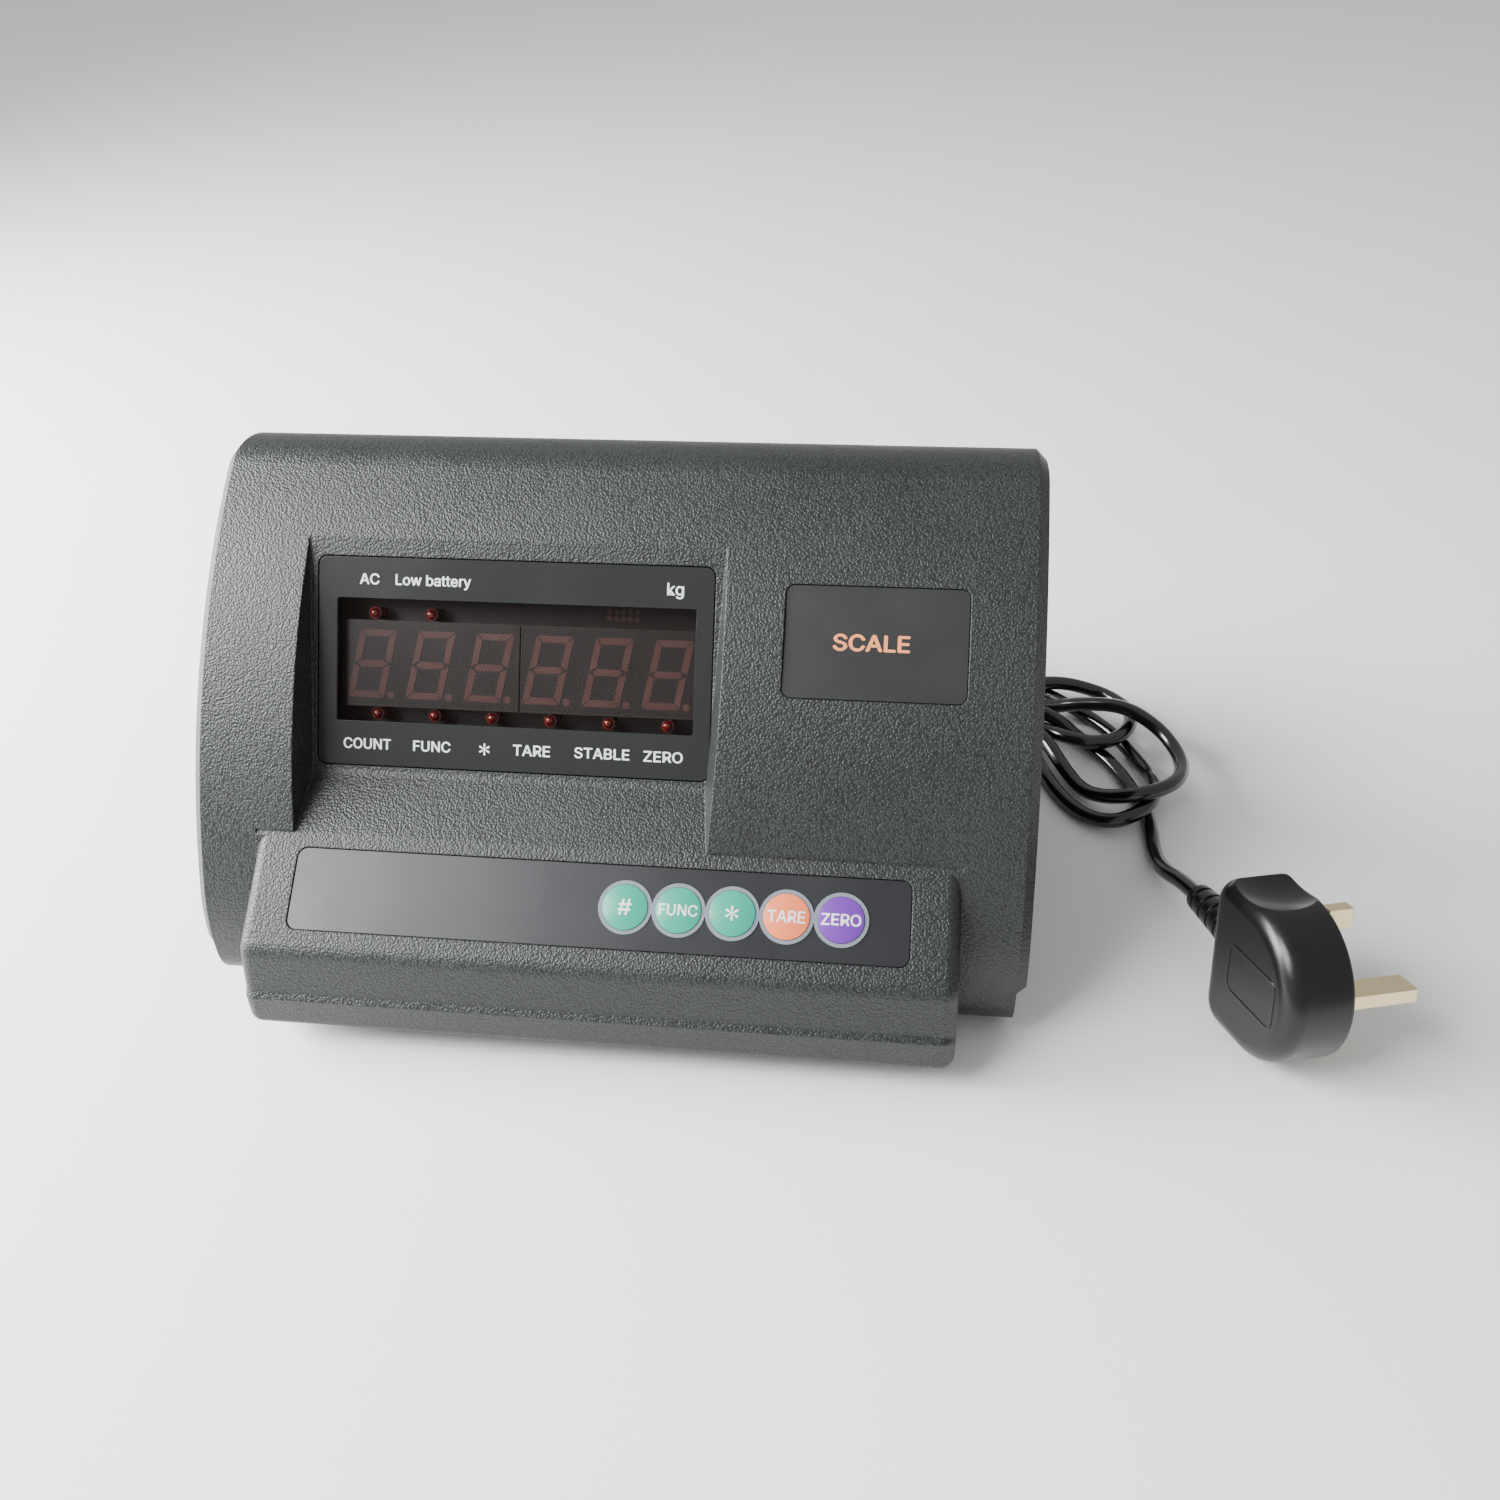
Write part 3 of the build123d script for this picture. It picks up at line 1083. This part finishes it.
def plug_outline():
    """Front outline of the plug: a flat heel, straight sides and a half-round nose."""
    side, half = PLUG_NOSE - PLUG_HALF_WIDTH, PLUG_HALF_WIDTH
    edge = FilletPolyline((side, half), (PLUG_HEEL, half), (PLUG_HEEL, -half), (side, -half),
                          radius=[8.0, 8.0])
    nose = ThreePointArc((side, -half), (PLUG_NOSE, 0), (side, half))
    return make_face([edge, nose])


def plug_block():
    """Plug moulding before its holes: rounded back, rounded rim, finger hollows."""
    block = Pos(0, 0, -PLUG_THICK) * extrude(plug_outline(), PLUG_THICK)
    back = block.faces().sort_by(Axis.Z)[0]
    block = fillet(back.edges(), 5.5)
    front = block.faces().sort_by(Axis.Z)[-1]
    block = fillet(front.edges(), 0.8)
    for sign in (-1, 1):
        hollow = Pos(-20, sign * (PLUG_HALF_WIDTH + 27.4), -9.5) * Sphere(30)
        block -= hollow
    return block


PLUG = plug_plane()
LINE_U = -PIN_OFFSET


def plug_body():
    """Moulded plug body with its carrier pocket and label frame."""
    body = plug_block()
    body -= Pos(-11.0, 0, -6) * Box(7.3, 13.3, 12.2)
    body -= Pos(0, 0, -4) * Box(8.0, 4.0, 8.01)
    for sign in (-1, 1):
        body -= Pos(LINE_U, sign * PIN_SPREAD, -4) * Box(4.0, 6.35, 8.01)
    frame = Pos(-10, 0, -PLUG_THICK - 0.15) * extrude(
        RectangleRounded(24, 15, 3) - RectangleRounded(22.6, 13.6, 2.4), 0.5)
    return PLUG * (body + frame)


def plug_relief():
    """Ringed strain relief behind the plug, tapering to the cord."""
    base = Plane(origin=(PLUG_HEEL, 0, RELIEF_DEPTH), z_dir=(-1, 0, 0))
    sleeve = base * Pos(0, 0, PLUG_RELIEF / 2) * Cone(6.3, 4.3, PLUG_RELIEF)
    for i in range(4):
        drop = 6.0 + 5.4 * i
        radius = 6.3 - 2.0 * drop / PLUG_RELIEF
        ring = base * Pos(0, 0, drop) * extrude(Circle(9) - Circle(radius - 1.0), 1.3)
        sleeve -= ring
    return PLUG * sleeve


def plug_earth_pin():
    """Earth pin, 4 by 8, chamfered at its tip."""
    pin = Pos(0, 0, 22.7 / 2 - 4) * Box(7.95, 3.95, 22.7 + 8)
    pin = chamfer(pin.faces().sort_by(Axis.Z)[-1].edges(), 1.0)
    return PLUG * pin


def plug_live_pins():
    """Line and neutral pins."""
    pins = []
    for sign in (-1, 1):
        pin = Pos(LINE_U, sign * PIN_SPREAD, 17.7 / 2 - 4) * Box(3.95, 6.3, 17.7 + 8)
        pin = chamfer(pin.faces().sort_by(Axis.Z)[-1].edges(), 0.9)
        pin -= Pos(LINE_U, sign * PIN_SPREAD, 9.5 / 2) * (Box(5, 8, 9.5) - Box(2.75, 5.1, 9.5))
        pins.append(PLUG * pin)
    return Compound(pins)


def plug_sleeves():
    """Insulating sleeves on the roots of the line and neutral pins."""
    sleeves = []
    for sign in (-1, 1):
        spot = Pos(LINE_U, sign * PIN_SPREAD, 9.4 / 2 + 0.02)
        sleeves.append(PLUG * spot * (Box(3.95, 6.3, 9.4) - Box(2.8, 5.15, 9.5)))
    return Compound(sleeves)


def plug_fuse_carrier():
    """Pull-out fuse carrier in the plug's face."""
    carrier = Pos(-11.0, 0, -5.0) * Box(7.0, 13.0, 9.8)
    carrier -= Pos(-11.0, 0, -0.1) * Box(1.0, 9.0, 0.8)
    return PLUG * carrier


def hank():
    """Outer shape of the loose hank: two lobes that meet at its tie."""
    right = Pos(159, 76) * Rot(0, 0, -8) * Ellipse(26, 38)
    left = Pos(92, 114) * Ellipse(39, 26)
    waist = Pos(133, 110) * Rot(0, 0, -35) * Rectangle(34, 26)
    outline = right + left + waist
    outline -= Pos(154, 66) * Rot(0, 0, 8) * Ellipse(7, 17)
    outline -= Pos(92, 116) * Ellipse(20, 11)
    return Pos(LEAD_PLACE.X, LEAD_PLACE.Y) * extrude(outline, HANK_HEIGHT)


def relief_end():
    """Where the lead enters the plug's strain relief, and its direction outwards."""
    spot = PLUG.from_local_coords(Vector(PLUG_HEEL - PLUG_RELIEF, 0, RELIEF_DEPTH))
    return spot, -PLUG.x_dir


def lead_points():
    """The lead's route, ended straight into the strain relief."""
    spot, away = relief_end()
    before = spot + away * 11.0
    return [*LEAD_ROUTE, before, spot]


def tube(name, points):
    """One stretch of the lead; prints its radii and length."""
    radii = run_radii(points)
    runs = sum((Vector(b) - Vector(a)).length for a, b in zip(points, points[1:]))
    solid = wire(points, radii, CORD_DIAMETER)
    section = pi * (CORD_DIAMETER / 2) ** 2
    print(name, "radii", [round(r, 1) for r in radii], "runs", round(runs, 1),
          "length", round(solid.volume / section, 1))
    print(name, "points", [tuple(round(c, 2) for c in p) for p in points])
    return solid


# ---------------------------------------------------------------- build

def parts():
    """Every node, by name."""
    built = {
        "front_shell": front_shell(),
        "rear_shell": rear_shell(),
        "battery_door": battery_door(),
        "display_window": display_window(),
        "led_module_left": led_module(0),
        "led_module_right": led_module(3),
        "status_lamps": status_lamps(),
        "display_board": display_board(),
        "name_plate": name_plate(),
        "keypad_overlay": keypad_overlay(),
        "key_rings": key_rings(),
        "keypad_circuit": keypad_circuit(),
        "key_contacts": key_contacts(),
        "keypad_tail": keypad_tail(),
        "main_board": main_board(),
        "main_board_chips": board_chips(),
        "smoothing_capacitors": capacitors(),
        "regulator_heatsink": heatsink(),
        "buzzer": buzzer(),
        "ribbon_cable": ribbon_cable(),
        "transformer_core": transformer_core(),
        "transformer_winding": transformer_winding(),
        "transformer_strap": transformer_strap(),
        "board_screws": board_screws(),
        "battery": battery(),
        "battery_terminals": battery_terminals(),
        "battery_leads": battery_leads(),
        "battery_strap": battery_strap(),
        "load_cell_socket": cell_socket(),
        "load_cell_socket_nut": cell_nut(),
        "load_cell_socket_pins": cell_pins(),
        "serial_port_shell": serial_shell(),
        "serial_port_insert": serial_insert(),
        "serial_port_posts": serial_posts(),
        "power_switch_body": switch_body(),
        "power_switch_rocker": switch_rocker(),
        "fuse_holder": fuse_holder(),
        "fuse_holder_nut": fuse_nut(),
        "fuse_cap": fuse_cap(),
        "fuse": fuse(),
        "cord_gland": cord_gland(),
        "rubber_feet": rubber_feet(),
        "bracket_inserts": bracket_inserts(),
        "case_screws": case_screws(),
        "rating_label": rating_label(),
        "mains_cord_drop": tube("drop", DROP_ROUTE),
        "mains_cord_hank": hank(),
        "mains_cord_lead": tube("lead", lead_points()),
        "plug_body": plug_body(),
        "plug_strain_relief": plug_relief(),
        "plug_earth_pin": plug_earth_pin(),
        "plug_live_pins": plug_live_pins(),
        "plug_pin_sleeves": plug_sleeves(),
        "plug_fuse_carrier": plug_fuse_carrier(),
    }
    for name, x in zip(KEY_NAMES, key_spots()):
        built[name] = key(x)
    return built


for node, solid in parts().items():
    export_step(solid, f"parts/{node}.step")
